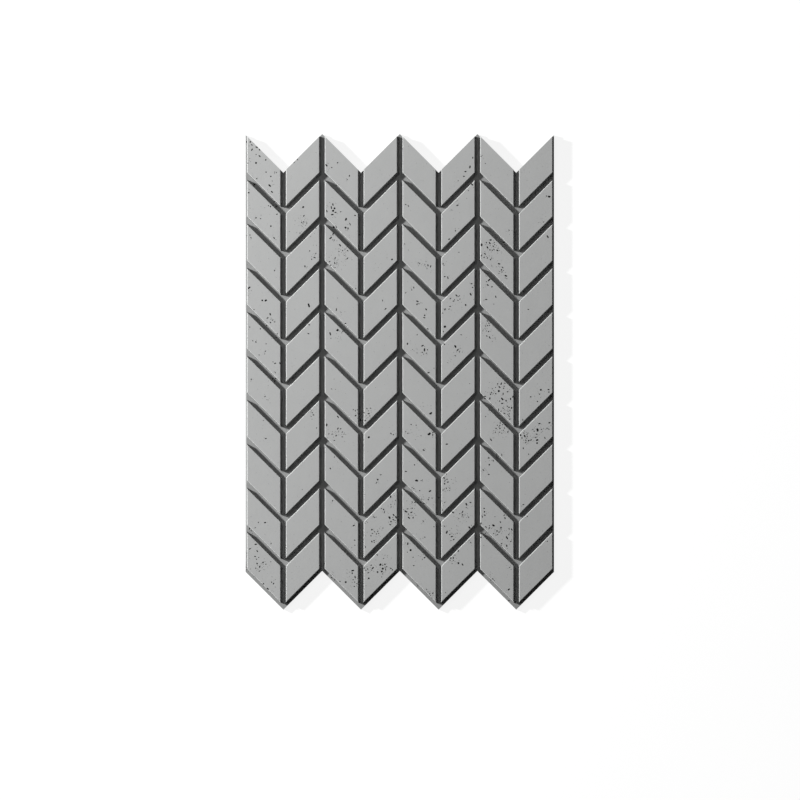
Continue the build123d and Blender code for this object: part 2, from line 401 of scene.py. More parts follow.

# %% [markdown]
# ## Where the pits are
#
# Pits come in clusters, where air was trapped, and whole tiles have none. Below, a column and a row name a
# tile, and each entry is a cluster on it: across, down, its spread, the number of pits and the largest
# width, both sizes in millimetres. An entry of one pit with no spread is a pit that stands alone. An entry
# wider than the limit for worms is a worm. The places were read off the photograph.

# %% Pit clusters
PIT_CLUSTERS = {
    (0, 0): [
        (0.06, 0.13, 0, 1, 1.8), (0.19, 0.06, 2, 3, 2.4), (0.32, 0.03, 0, 1, 2.2),
        (0.39, 0.02, 0, 1, 2.2), (0.20, 0.19, 0, 1, 2.0), (0.30, 0.21, 0, 1, 1.6),
        (0.39, 0.17, 0, 1, 2.0), (0.55, 0.11, 0, 1, 2.2), (0.12, 0.55, 2.5, 3, 1.4),
        (0.30, 0.40, 0, 1, 3.0), (0.56, 0.38, 0, 1, 2.2), (0.68, 0.37, 0, 1, 2.4),
        (0.78, 0.21, 3, 3, 1.4), (0.32, 0.74, 0, 1, 2.2), (0.68, 0.56, 2, 3, 2.6),
        (0.71, 0.70, 0, 1, 2.4), (0.25, 0.93, 0, 1, 3.2), (0.77, 0.90, 2.5, 3, 2.4),
    ],
    (0, 1): [
        (0.11, 0.22, 2.5, 2, 2.0), (0.65, 0.10, 2.5, 2, 1.8), (0.30, 0.65, 0, 1, 2.2),
        (0.42, 0.56, 0, 1, 1.6), (0.12, 0.55, 4, 3, 1.2), (0.68, 0.50, 0, 1, 2.4),
        (0.84, 0.09, 0, 1, 1.8), (0.80, 0.66, 2, 2, 1.8), (0.50, 0.35, 8, 2, 1.2),
    ],
    (0, 2): [(0.14, 0.19, 3, 3, 1.4), (0.78, 0.42, 0, 1, 1.6)],
    (0, 3): [
        (0.12, 0.39, 0, 1, 2.6), (0.12, 0.47, 2.5, 3, 2.2), (0.06, 0.64, 1.5, 2, 1.8),
        (0.46, 0.38, 0, 1, 2.8), (0.55, 0.30, 0, 1, 2.8), (0.25, 0.77, 0, 1, 1.4),
        (0.67, 0.51, 0, 1, 2.4), (0.70, 0.65, 5, 9, 2.0), (0.80, 0.86, 4, 4, 2.2),
    ],
    (0, 4): [
        (0.10, 0.32, 3, 3, 2.0), (0.41, 0.07, 0, 1, 2.2), (0.24, 0.50, 2.5, 2, 2.0),
        (0.56, 0.28, 0, 1, 1.6), (0.53, 0.49, 1.5, 2, 1.8), (0.38, 0.69, 0, 1, 1.8),
        (0.74, 0.53, 0, 1, 1.8), (0.79, 0.68, 4, 4, 2.0), (0.92, 0.40, 0, 1, 2.0),
    ],
    (0, 5): [(0.73, -0.02, 3, 4, 2.4), (0.22, 0.38, 2, 2, 1.8), (0.55, 0.50, 5, 4, 1.4)],
    (0, 6): [(0.49, 0.08, 0, 1, 1.4), (0.52, 0.46, 1.5, 2, 1.8)],
    (0, 8): [
        (0.17, 0.55, 0, 1, 1.2), (0.36, 0.51, 0, 1, 2.0), (0.53, 0.36, 1.5, 3, 2.4),
        (0.28, 0.70, 0, 1, 1.8), (0.17, 0.87, 3, 4, 1.8), (0.69, 0.70, 0, 1, 1.4),
    ],
    (0, 9): [
        (0.27, 0.11, 1.5, 2, 2.2), (0.33, 0.19, 0, 1, 1.8), (0.06, 0.45, 4, 4, 1.8),
        (0.30, 0.37, 3, 3, 2.0), (0.40, 0.46, 5, 7, 2.4), (0.38, 0.60, 2, 2, 2.0),
        (0.50, 0.33, 4, 4, 1.6), (0.68, 0.12, 0, 1, 1.6), (0.10, 0.80, 3, 5, 2.0),
        (0.49, 0.79, 0, 1, 2.2), (0.60, 0.81, 0, 1, 2.4), (0.76, 0.50, 3, 3, 2.0),
        (0.65, 0.40, 6, 2, 1.2),
    ],
    (1, 0): [(0.28, 0.01, 1, 2, 2.6), (0.35, 0.02, 1.5, 2, 2.0), (0.63, 0.00, 0, 1, 1.2)],
    (1, 1): [
        (0.50, 0.22, 1, 2, 2.8), (0.53, 0.45, 0, 1, 1.8), (0.53, 0.60, 5, 14, 1.8),
        (0.39, 0.72, 2.5, 3, 1.6),
    ],
    (1, 2): [
        (0.80, 0.03, 5, 7, 1.6), (0.68, 0.38, 0, 1, 1.8), (0.83, 0.62, 3.5, 6, 2.0),
        (0.85, 0.40, 2, 2, 1.2), (0.59, 0.66, 1.5, 2, 2.0),
    ],
    (1, 3): [(0.30, 0.37, 0, 1, 1.2), (0.66, 0.60, 0, 1, 6.0)],
    (1, 4): [(0.67, 0.05, 0, 1, 2.0), (0.65, 0.23, 0, 1, 1.8)],
    (1, 5): [(0.79, 0.07, 0, 1, 1.2)],
    (1, 6): [(0.75, 0.10, 4, 10, 2.0), (0.86, 0.56, 0, 1, 1.4)],
    (1, 7): [(0.49, 0.63, 0, 1, 1.2)],
    (2, 0): [
        (0.11, 0.65, 1.5, 3, 2.4), (0.25, 0.55, 0, 1, 1.8), (0.40, 0.31, 0, 1, 1.8),
        (0.70, 0.34, 0, 1, 1.8), (0.63, 0.49, 1, 2, 1.4), (0.15, 0.74, 2, 2, 1.2),
        (0.40, 0.84, 1.5, 3, 1.6),
    ],
    (2, 1): [
        (0.29, 0.34, 1.5, 2, 2.0), (0.27, 0.48, 3.5, 5, 4.2), (0.37, 0.50, 1.5, 2, 2.2),
        (0.26, 0.64, 1.5, 2, 2.2), (0.48, 0.35, 0, 1, 1.6), (0.62, 0.40, 0, 1, 2.8),
        (0.67, 0.54, 3, 4, 4.0), (0.85, 0.11, 0, 1, 2.0), (0.60, 0.75, 6, 3, 1.2),
        (0.90, 0.80, 3, 2, 1.6),
    ],
    (2, 2): [
        (0.32, -0.16, 1, 2, 3.8), (0.29, 0.03, 1.5, 3, 2.0), (0.29, 0.16, 2.5, 4, 2.4),
        (0.43, 0.16, 1, 2, 2.2), (0.55, 0.17, 4, 11, 1.8), (0.65, 0.25, 1, 2, 3.8),
        (0.50, 0.40, 8, 8, 1.4), (0.33, 0.55, 1, 2, 3.8), (0.33, 0.68, 4, 9, 1.8),
        (0.87, 0.75, 0, 1, 1.6), (0.25, 0.55, 6, 5, 1.2),
    ],
    (2, 3): [
        (0.37, 0.67, 0, 1, 4.4), (0.47, 0.65, 1.5, 2, 1.4), (0.40, 0.38, 0, 1, 1.2),
        (0.60, 0.78, 0, 1, 1.8),
    ],
    (2, 4): [
        (0.21, 0.36, 0, 1, 5.0), (0.21, 0.45, 1, 1, 1.6), (0.40, 0.11, 0, 1, 3.4),
        (0.51, 0.05, 2, 3, 1.6), (0.43, 0.27, 4, 5, 1.2),
    ],
    (2, 5): [
        (0.23, 0.58, 2, 2, 1.6), (0.31, 0.30, 0, 1, 1.2), (0.87, 0.52, 3, 4, 1.8),
        (0.90, 0.62, 3, 5, 2.2),
    ],
    (2, 6): [
        (0.41, 0.07, 0, 1, 4.0), (0.10, 0.52, 1, 2, 2.6), (0.42, 0.43, 6, 14, 2.0),
        (0.25, 0.55, 3, 2, 1.4),
    ],
    (2, 7): [(0.32, 0.06, 0, 1, 2.0), (0.21, 0.42, 0, 1, 1.8)],
    (2, 8): [
        (0.26, 0.12, 1.5, 3, 1.6), (0.82, 0.16, 1.5, 3, 2.0), (0.84, 0.49, 0, 1, 1.6),
        (0.84, 0.65, 3, 2, 1.4),
    ],
    (2, 9): [
        (0.66, -0.06, 4, 4, 2.2), (0.25, 0.86, 3, 6, 2.0), (0.46, 0.76, 0, 1, 1.6),
        (0.62, 0.62, 1, 2, 3.0), (0.78, 0.26, 4, 5, 2.4), (0.83, 0.50, 6, 10, 1.8),
        (0.86, 0.35, 2, 3, 2.0),
    ],
    (3, 1): [(-0.02, 0.41, 3, 6, 2.0)],
    (3, 2): [(0.67, 0.53, 0, 1, 1.2), (0.80, 0.68, 0, 1, 2.8), (0.45, 0.55, 0, 1, 1.2)],
    (3, 3): [(0.56, 0.40, 0, 1, 1.4), (0.63, 0.65, 0, 1, 1.8)],
    (3, 5): [(0.20, 0.60, 5, 8, 2.0), (0.15, 0.73, 2, 3, 2.0), (-0.02, 0.55, 5, 7, 2.4)],
    (3, 6): [(0.82, 0.63, 2, 3, 1.8), (0.21, 0.19, 1, 2, 3.0), (0.18, 0.50, 0, 1, 1.2)],
    (3, 7): [(0.42, 0.40, 2, 4, 3.6), (0.50, 0.30, 1, 1, 1.4), (0.10, 0.40, 0, 1, 1.4)],
    (3, 8): [
        (0.78, 0.04, 2, 4, 2.6), (0.53, 0.10, 0, 1, 1.4), (0.60, 0.23, 2, 4, 3.8),
        (0.34, 0.12, 2, 4, 2.0), (0.11, 0.07, 1.5, 3, 1.4), (0.77, 0.25, 2.5, 4, 1.8),
        (0.82, 0.60, 4, 11, 2.8), (0.30, 0.38, 1, 2, 2.4), (0.36, 0.50, 5, 9, 1.8),
        (0.35, 0.70, 2, 3, 2.4), (0.11, 0.62, 1, 2, 1.6), (0.55, 0.60, 2, 3, 1.4),
        (0.90, 0.20, 3, 3, 1.8),
    ],
    (3, 9): [
        (0.42, 0.05, 0, 1, 1.6), (0.62, 0.25, 3, 4, 1.4), (0.12, 0.11, 3, 7, 2.0),
        (0.27, 0.20, 3, 7, 2.2), (0.20, 0.38, 1, 2, 2.8), (0.42, 0.43, 1.5, 2, 2.8),
        (0.57, 0.48, 4, 10, 3.8), (0.55, 0.58, 3, 4, 1.8), (0.78, 0.70, 1.5, 3, 2.0),
        (0.10, 0.50, 3, 3, 1.6),
    ],
    (4, 1): [(0.15, 0.48, 0, 1, 1.4), (0.22, 0.45, 0, 1, 1.4)],
    (4, 2): [
        (0.50, 0.50, 2, 4, 1.8), (0.70, 0.38, 3.5, 8, 2.0), (0.12, 0.40, 0, 1, 1.4),
        (0.22, 0.45, 0, 1, 1.2),
    ],
    (4, 3): [
        (0.33, 0.22, 2, 3, 2.0), (0.17, 0.45, 2, 2, 1.4), (0.47, 0.42, 1.5, 3, 2.4),
        (0.68, 0.39, 0, 1, 2.4), (0.64, 0.57, 1.5, 3, 2.6), (0.72, 0.80, 0, 1, 1.6),
    ],
    (4, 4): [
        (0.45, 0.17, 0, 1, 1.6), (0.21, 0.58, 2.5, 2, 2.4), (0.61, 0.40, 4, 10, 2.6),
        (0.35, 0.62, 2, 2, 1.2), (0.74, 0.77, 0, 1, 2.2), (0.88, 0.55, 0, 1, 1.6),
    ],
    (4, 5): [(0.78, 0.50, 2, 2, 1.2), (0.59, 0.68, 3, 3, 1.2), (0.80, 0.65, 0, 1, 3.0)],
    (4, 6): [
        (0.29, 0.35, 0, 1, 1.8), (0.42, 0.25, 0, 1, 1.8), (0.83, 0.08, 2, 4, 3.4),
        (0.60, 0.65, 1.5, 4, 2.2), (0.40, 0.50, 6, 5, 1.6), (0.45, 0.80, 4, 4, 1.6),
        (0.18, 0.62, 2, 3, 1.8),
    ],
    (4, 7): [
        (0.39, 0.18, 1, 2, 2.2), (0.50, -0.04, 1.5, 2, 2.2), (0.14, 0.55, 1, 1, 1.8),
        (0.42, 0.51, 1, 2, 3.0), (0.58, 0.36, 1.5, 3, 1.8), (0.35, 0.75, 2, 4, 1.8),
        (0.50, 0.69, 1, 1, 2.0), (0.78, 0.43, 1, 2, 2.6), (0.78, 0.62, 7, 8, 2.0),
        (0.60, 0.75, 4, 3, 1.4),
    ],
    (4, 8): [
        (0.33, 0.12, 4, 6, 1.6), (0.27, 0.38, 4.5, 8, 2.6), (0.14, 0.45, 2, 2, 1.4),
        (0.60, 0.30, 2.5, 4, 1.8), (0.64, 0.60, 0, 1, 1.4), (0.88, 0.15, 0, 1, 1.6),
        (0.45, 0.70, 6, 3, 1.2), (0.50, -0.08, 3, 4, 1.8),
    ],
    (4, 9): [
        (0.16, 0.18, 2, 4, 2.2), (0.28, 0.21, 0, 1, 3.4), (0.20, 0.32, 1, 1, 1.6),
        (0.34, 0.32, 0, 1, 1.8), (0.59, 0.10, 2.5, 5, 1.8), (0.36, 0.49, 0, 1, 1.8),
        (0.70, 0.73, 1, 2, 1.8), (0.80, 0.79, 4, 9, 2.0), (0.45, 0.85, 3, 3, 1.4),
    ],
    (5, 0): [
        (0.88, 0.44, 0, 1, 1.8), (0.81, 0.59, 0, 1, 2.4), (0.69, 0.59, 0, 1, 2.2),
        (0.78, 0.55, 0, 1, 1.4), (0.65, 0.66, 0, 1, 2.0), (0.50, 0.63, 0, 1, 1.6),
    ],
    (5, 1): [
        (0.86, 0.05, 1.5, 3, 2.6), (0.76, 0.07, 1, 2, 1.8), (0.50, 0.16, 1.5, 3, 2.0),
        (0.33, 0.13, 1, 2, 1.4), (0.72, 0.22, 0, 1, 1.2), (0.42, 0.68, 1.5, 2, 2.2),
        (0.27, 0.75, 0, 1, 2.0),
    ],
    (5, 2): [
        (0.52, 0.27, 0, 1, 1.4), (0.13, 0.20, 1.5, 4, 2.2), (0.25, 0.60, 1, 3, 4.2),
        (0.15, 0.49, 1, 3, 2.0),
    ],
    (5, 3): [
        (0.88, 0.34, 2.5, 4, 2.0), (0.83, 0.49, 1, 2, 2.4), (0.50, 0.30, 7, 8, 2.2),
        (0.69, 0.65, 1, 1, 2.6), (0.13, 0.22, 1, 2, 2.4), (0.30, 0.34, 3, 3, 1.6),
        (0.10, 0.28, 0, 1, 1.8), (0.16, 0.64, 0, 1, 3.4), (0.15, 0.78, 2, 2, 1.6),
    ],
    (5, 4): [
        (0.16, 0.03, 1, 2, 2.2), (0.42, 0.32, 1, 3, 2.8), (0.53, 0.50, 2.5, 8, 2.2),
        (0.58, 0.20, 0, 1, 1.4), (0.41, 0.53, 1.5, 2, 1.4), (0.30, 0.55, 3, 4, 1.2),
    ],
    (5, 5): [(0.80, 0.50, 0, 1, 1.4)],
    (5, 6): [(0.21, 0.35, 0, 1, 2.0)],
    (5, 7): [
        (0.18, 0.01, 1, 2, 1.6), (0.17, 0.14, 2.5, 9, 3.8), (0.13, 0.32, 1, 3, 2.2),
        (0.28, 0.41, 3.5, 6, 1.8), (0.09, 0.55, 3, 6, 1.6), (0.09, 0.75, 2.5, 5, 1.6),
        (0.40, 0.35, 5, 4, 1.2),
    ],
    (5, 8): [
        (0.84, 0.21, 1, 2, 2.2), (0.71, 0.20, 2, 4, 2.4), (0.35, 0.04, 1, 2, 2.4),
        (0.60, 0.28, 2, 4, 4.2), (0.50, 0.30, 5, 5, 1.4), (0.17, 0.18, 1.5, 4, 1.4),
        (0.42, 0.50, 5, 6, 1.4), (0.81, 0.74, 1.5, 3, 2.6), (0.21, 0.37, 1, 2, 2.6),
        (0.33, 0.50, 2, 4, 2.2), (0.36, 0.60, 4, 4, 1.6), (0.72, 0.50, 3, 4, 1.6),
        (0.65, 0.35, 6, 5, 1.3),
    ],
    (5, 9): [
        (0.50, 0.03, 1, 2, 1.8), (0.36, 0.09, 4, 11, 2.2), (0.51, 0.32, 0, 1, 2.8),
        (0.64, 0.47, 1, 2, 2.0), (0.80, 0.11, 2, 4, 1.8), (0.18, 0.70, 0, 1, 1.4),
        (0.83, 0.70, 1, 1, 1.2),
    ],
    (6, 0): [(0.11, 0.42, 1.5, 3, 2.0), (0.20, 0.50, 0, 1, 1.4)],
    (6, 1): [(0.84, 0.50, 3, 3, 1.4), (0.67, 0.88, 2, 3, 2.0)],
    (6, 2): [
        (0.11, 0.43, 0, 1, 2.8), (0.22, 0.28, 1, 3, 2.2), (0.36, 0.23, 5, 14, 2.4),
        (0.50, 0.20, 3, 5, 2.2), (0.19, 0.60, 2.5, 6, 2.2), (0.33, 0.55, 2, 5, 2.4),
        (0.38, 0.65, 1, 2, 1.6), (0.54, 0.50, 2, 4, 2.4), (0.60, 0.57, 2.5, 7, 2.6),
        (0.72, 0.62, 1.5, 3, 2.6), (0.30, 0.40, 6, 5, 1.2),
    ],
    (6, 3): [
        (0.28, 0.08, 2, 4, 2.6), (0.26, 0.18, 2, 4, 2.2), (0.37, 0.15, 0, 1, 2.4),
        (0.47, 0.29, 0, 1, 3.6), (0.20, 0.57, 1.5, 3, 1.8), (0.42, 0.50, 0, 1, 1.6),
        (0.24, -0.04, 2, 3, 2.0),
    ],
    (6, 4): [
        (0.25, 0.15, 4, 11, 1.8), (0.20, 0.25, 4, 7, 1.6), (0.30, 0.36, 2.5, 4, 4.0),
        (0.40, 0.30, 2, 3, 1.4),
    ],
    (6, 5): [
        (0.72, -0.04, 1.5, 3, 1.8), (0.70, 0.04, 1.5, 3, 1.8), (0.56, 0.23, 3, 8, 2.2),
        (0.50, 0.32, 0, 1, 2.2), (0.66, 0.16, 1.5, 3, 1.8), (0.80, 0.12, 2, 4, 1.8),
        (0.55, 0.36, 0, 1, 3.0), (0.35, 0.59, 1.5, 3, 2.2), (0.47, 0.49, 0, 1, 2.4),
        (0.38, 0.52, 3, 6, 1.4), (0.65, 0.36, 1, 2, 3.6), (0.33, 0.73, 1, 2, 2.2),
        (0.21, 0.81, 1.5, 2, 2.2), (0.62, 0.52, 2.5, 9, 2.6), (0.72, 0.43, 1.5, 3, 2.4),
        (0.59, 0.61, 1, 2, 2.4), (0.88, 0.24, 2, 4, 3.6), (0.86, 0.46, 1.5, 3, 2.6),
        (0.66, 0.65, 0, 1, 2.2), (0.55, 0.77, 1.5, 3, 3.6), (0.68, 0.73, 1, 2, 1.8),
        (0.81, 0.67, 1.5, 4, 3.6), (0.77, 0.79, 1, 2, 2.0), (0.85, 0.73, 1, 2, 2.0),
        (0.75, 0.60, 4, 9, 1.8),
    ],
    (6, 6): [
        (0.30, 0.05, 2, 3, 2.0), (0.20, 0.25, 1, 1, 1.4), (0.60, 0.15, 5.5, 22, 2.4),
        (0.42, 0.43, 1, 3, 2.6), (0.35, 0.63, 1.5, 4, 2.0), (0.75, 0.10, 3, 6, 2.0),
        (0.63, 0.74, 1, 2, 3.8),
    ],
    (6, 7): [
        (0.27, 0.12, 1.5, 3, 2.4), (0.31, 0.25, 1, 2, 2.4), (0.40, 0.08, 1, 2, 1.6),
        (0.15, 0.50, 2, 5, 1.8), (0.29, 0.48, 0, 1, 1.8), (0.50, -0.12, 3, 4, 2.0),
    ],
    (6, 8): [
        (0.17, 0.36, 0, 1, 2.4), (0.15, 0.53, 2, 5, 3.8), (0.20, 0.50, 1, 1, 1.8),
        (0.11, 0.74, 1.5, 4, 2.4), (0.45, 0.30, 0, 1, 1.4), (0.71, 0.06, 1.5, 3, 2.0),
        (0.59, 0.30, 1, 2, 2.0), (0.41, 0.54, 1, 2, 2.8), (0.60, 0.46, 1.5, 4, 2.8),
        (0.54, 0.58, 1.5, 3, 2.4), (0.50, 0.65, 3, 5, 2.0), (0.76, 0.48, 1.5, 3, 5.0),
        (0.86, 0.27, 4, 9, 2.0), (0.74, 0.70, 1.5, 3, 2.2), (0.65, 0.75, 3, 4, 1.6),
        (0.29, 0.70, 3, 4, 1.8), (0.84, 0.50, 3, 4, 1.6),
    ],
    (6, 9): [
        (0.15, -0.03, 5, 8, 2.2), (0.83, 0.12, 2, 4, 1.8), (0.37, 0.80, 3, 8, 1.8),
        (0.79, 0.64, 1, 2, 2.4), (0.81, 0.90, 1, 2, 1.8),
    ],
    (7, 1): [(0.80, 0.26, 1.2, 2, 3.0), (0.67, 0.73, 3, 5, 1.4)],
    (7, 2): [(0.81, 0.17, 0, 1, 2.4), (0.64, 0.53, 0, 1, 1.2)],
    (7, 3): [(0.31, 0.38, 0, 1, 1.4)],
    (7, 5): [
        (0.89, 0.34, 2, 2, 2.2), (0.60, 0.30, 5, 2, 1.2), (0.63, 0.49, 0, 1, 3.0),
        (0.60, 0.56, 3, 4, 1.6), (0.84, 0.68, 2, 2, 2.4), (0.37, 0.42, 0, 1, 2.4),
        (0.55, 0.67, 1, 2, 2.0), (0.15, 0.73, 2.5, 2, 2.2),
    ],
    (7, 6): [
        (0.55, 0.33, 0, 1, 3.3), (0.60, 0.25, 1.5, 4, 2.2), (0.67, 0.44, 1.5, 3, 2.0),
        (0.85, 0.43, 0, 1, 2.4), (0.81, 0.53, 1.5, 4, 2.0), (0.11, 0.06, 0, 1, 2.6),
        (0.26, 0.18, 2, 9, 2.6), (0.45, 0.25, 2.5, 7, 1.8), (0.30, 0.33, 3, 12, 2.2),
        (0.50, 0.54, 1.5, 4, 2.8), (0.52, 0.42, 2.5, 8, 1.8), (0.18, 0.42, 0, 1, 2.0),
        (0.75, 0.69, 1, 2, 1.6), (0.13, 0.15, 2, 5, 1.6), (0.32, 0.68, 0, 1, 1.4),
    ],
    (7, 7): [(0.18, 0.73, 1.5, 2, 1.6)],
    (7, 8): [(0.26, 0.03, 1, 2, 2.0), (0.68, 0.74, 0, 1, 1.2)],
    (7, 9): [(0.79, 0.08, 1, 2, 1.4)],
}
print("clusters:", sum(map(len, PIT_CLUSTERS.values())))

# %% [markdown]
# ## Placing the pits
#
# A ray is shot at the merged body for each pit, so a pit sits on whatever is there, be it a tile, a wall or
# the floor of a groove, and its depth runs along the surface's own normal. Each cut should be clean, so a
# pit that would touch an earlier one tries another place in its cluster, and is left out after a few tries.
#
# Widths are in millimetres, as they show in the photograph. A real pit is wider than the dark spot in it,
# and depths are shares of the width. The width also picks the kind of shape.

# %% Place one pit
WORM_LIMIT = 3.5
LARGE_WIDTH = 2.7
TINY_WIDTH = 1.3
WORM_TURN = 90
WORM_SWING = 22
SEEN_TO_REAL = 1.32
REACH_SHARE = 0.53
CLEARANCE = 0.1 * MM
RAY_START = 50 * MM
DOWN = (0, 0, -1)
UP = (0, 0, 1)

Pit = namedtuple("Pit", "shape place normal width depth turn reach")
pick = random.Random(0)
placed = []


def is_free(place, reach):
    """True if a pit of that reach stays clear of all the pits placed so far."""
    return all((place - other.place).length > reach + other.reach + CLEARANCE for other in placed)


def place_pit(origin, direction, width_mm, depth_share):
    """Shoots a ray and puts a pit where it lands. False if there is no room for it."""
    place, normal, _, _ = surface.ray_cast(Vector(origin), Vector(direction))
    if place is None:
        return False
    width = width_mm * SEEN_TO_REAL * MM
    turn = pick.uniform(0, math.tau)
    if width_mm > WORM_LIMIT:
        shape, length = pick.choice(WORM_PITS)
        width /= length
        turn = math.radians(WORM_TURN + pick.gauss(0, WORM_SWING))
    elif width_mm > LARGE_WIDTH:
        shape, length = pick.choice(LARGE_PITS)
    elif width_mm > TINY_WIDTH:
        shape, length = pick.choice(ROUND_PITS)
    else:
        shape, length = pick.choice(TINY_PITS)
    reach = width * length * REACH_SHARE
    if not is_free(place, reach):
        return False
    placed.append(Pit(shape, place, normal, width, width * depth_share, turn, reach))
    return True


# %% [markdown]
# A cluster is its largest pit, smaller ones scattered around it, and as many fines again further out. Each
# tile has a random seed of its own, so that a new cluster on one tile leaves the other tiles as they are.

# %% Place the clusters
SMALLEST_SHARE = 0.5
SMALL_BIAS = 1.5
FINES_SHARE = 1.0
FINEST_WIDTH = 0.7
FINES_SCATTER = 1.3
FINES_MARGIN = 1
CLUSTER_DEPTHS = (1.0, 1.5)
TRIES = 4


def place_cluster(column, row, across, down, spread, number, largest):
    """Pits of one cluster: the largest first, then smaller ones around it, and fines further out."""
    x, y = tile_point(column, row, across, down)
    widths = [largest]
    for _ in range(number - 1):
        share = SMALLEST_SHARE + (1 - SMALLEST_SHARE) * pick.random() ** SMALL_BIAS
        widths.append(min(largest, WORM_LIMIT) * share)
    fines = round((number - 1) * FINES_SHARE)
    widths.extend(pick.uniform(FINEST_WIDTH, TINY_WIDTH) for _ in range(fines))
    for count, width_mm in enumerate(widths):
        scatter = spread * MM if count < number else (FINES_SCATTER * spread + FINES_MARGIN) * MM
        for _ in range(TRIES):
            start = (x + pick.gauss(0, scatter), y + pick.gauss(0, scatter), RAY_START)
            if place_pit(start, DOWN, width_mm, pick.uniform(*CLUSTER_DEPTHS)):
                break


for (column, row), clusters in PIT_CLUSTERS.items():
    pick.seed(ROWS * column + row)
    for cluster in clusters:
        place_cluster(column, row, *cluster)
print("pits in clusters:", len(placed))

# %% [markdown]
# Fine stray pits follow all over the face, then nicks along the arrises, which chip as the mould comes off.
# The outer sides and the back have pits too. A ray from outside finds a side, and one from below the back.

# %% Stray pits
STRAY_PITS = 420
STRAY_WIDTHS = (0.5, 1.0)
STRAY_DEPTHS = (0.7, 1.1)


def random_plan_point():
    """A point in plan anywhere on the grid of tiles."""
    return tile_point(pick.randrange(COLUMNS), pick.randrange(ROWS), pick.random(), pick.random())


for _ in range(STRAY_PITS):
    x, y = random_plan_point()
    place_pit((x, y, RAY_START), DOWN, pick.uniform(*STRAY_WIDTHS), pick.uniform(*STRAY_DEPTHS))
print("with the strays:", len(placed))

# %% Nicks
NICKS = 300
NICK_RANGE = (0.08, 0.92)
NICK_WIDTHS = (0.5, 1.3)
NICK_DEPTHS = (0.4, 0.8)

left_edge = GROOVE_MOUTH / 2 / COLUMN_PITCH
lower_edge = 1 - GROOVE_MOUTH * ALONG_Y / ROW_PITCH
for _ in range(NICKS):
    column = pick.randrange(COLUMNS)
    row = pick.randrange(ROWS)
    along = pick.uniform(*NICK_RANGE)
    # On the left, right, upper or lower arris
    spots = [(left_edge, along), (1 - left_edge, along), (along, 0.0), (along, lower_edge)]
    across, down = pick.choice(spots)
    x, y = tile_point(column, row, across, down)
    place_pit((x, y, RAY_START), DOWN, pick.uniform(*NICK_WIDTHS), pick.uniform(*NICK_DEPTHS))
print("with the nicks:", len(placed))

# %% Pits on the sides and the back
SIDE_PITS = 180
SIDE_WIDTHS = (0.5, 1.9)
SIDE_DEPTHS = (0.7, 1.1)
# Rays at the sides aim this far from the middle at most, in metres, and between these levels, in millimetres
AIM_X = 0.25
AIM_Y = 0.38
SIDE_LEVELS = (0.5, FACE_Z / MM - 2)
BACK_PITS = 240
BACK_WIDTHS = (0.5, 2.4)
BACK_DEPTHS = (0.5, 1.0)

for _ in range(SIDE_PITS):
    angle = pick.uniform(0, math.tau)
    aim_x = pick.uniform(-AIM_X, AIM_X)
    aim_y = pick.uniform(-AIM_Y, AIM_Y)
    target = Vector((aim_x, aim_y, pick.uniform(*SIDE_LEVELS) * MM))
    outside = target + Vector((math.cos(angle), math.sin(angle), 0))
    place_pit(outside, target - outside, pick.uniform(*SIDE_WIDTHS), pick.uniform(*SIDE_DEPTHS))

for _ in range(BACK_PITS):
    x, y = random_plan_point()
    place_pit((x, y, -RAY_START), UP, pick.uniform(*BACK_WIDTHS), pick.uniform(*BACK_DEPTHS))
print("pits in all:", len(placed))

# %% [markdown]
# ## Cutting the pits
#
# All the pits are gathered in one cutter mesh, and one boolean takes them out of the body. Every face corner
# of the cutter carries how deep it lies in its pit. The boolean hands that number on to the new faces, and
# only to them, so it also tells a pit from the plain surface. The material uses it to paint shade into the
# inside of a pit.

# %% Build the cutter and cut
DEPTH_NAME = "pit_depth"
SHALLOWEST = 0.01
SINK = 0.12


def gather_cutter(pits):
    """One mesh with a copy of its shape for each pit, turned to the surface and sized."""
    points, faces, depths = [], [], []
    for pit in pits:
        first = len(points)
        facing = Vector(UP).rotation_difference(pit.normal)
        turned = facing @ Matrix.Rotation(pit.turn, 3, "Z").to_quaternion()
        size = Vector((pit.width, pit.width, pit.depth))
        seat = Matrix.LocRotScale(pit.place - pit.normal * pit.depth * SINK, turned, size)
        points.extend(seat @ point.co for point in pit.shape.vertices)
        faces.extend([first + corner for corner in face.vertices] for face in pit.shape.polygons)
        levels = [min(1.0, max(SHALLOWEST, 0.5 - point.co.z)) for point in pit.shape.vertices]
        depths.extend(levels[corner] for face in pit.shape.polygons for corner in face.vertices)
    mesh = bpy.data.meshes.new("pit_cutter")
    mesh.from_pydata(points, [], faces)
    mesh.attributes.new(DEPTH_NAME, "FLOAT", "CORNER").data.foreach_set("value", depths)
    return mesh


cutter = bpy.data.objects.new("pit_cutter", gather_cutter(placed))
bpy.context.collection.objects.link(cutter)
cast_panel.data.attributes.new(DEPTH_NAME, "FLOAT", "CORNER")
pick_only(cast_panel)
cut = cast_panel.modifiers.new("pits", "BOOLEAN")
cut.operation = "DIFFERENCE"
cut.solver = "MANIFOLD"
cut.object = cutter
bpy.ops.object.modifier_apply(modifier=cut.name)
bpy.data.objects.remove(cutter)
triangles = sum(len(face.vertices) - 2 for face in cast_panel.data.polygons)
print("cut body:", len(cast_panel.data.vertices), "points,", triangles, "triangles")

# %% [markdown]
# ## Smooth and flat faces
#
# Pits and rounded arrises are shaded smooth. The tile faces, groove floors, drafted walls, sides and back
# are true planes, and have to stay flat: smoothed, they would take a smear of the normals around each
# shallow nick. An arris is smooth across its facets, but not around a tile's corner, where two straight runs
# meet in a mitre. The same pass marks the arrises and the grooves for the material: their tilt and place
# tell them apart.

# %% Shade it
SMOOTH_ANGLE = math.radians(35)
WALL_TILT = 0.13
LEVEL_TILT = 0.9995
SAME_WAY = 0.99
OUTLINE_MARGIN = 1 * MM
ARRIS_NAME = "arris"
GROOVE_NAME = "groove"


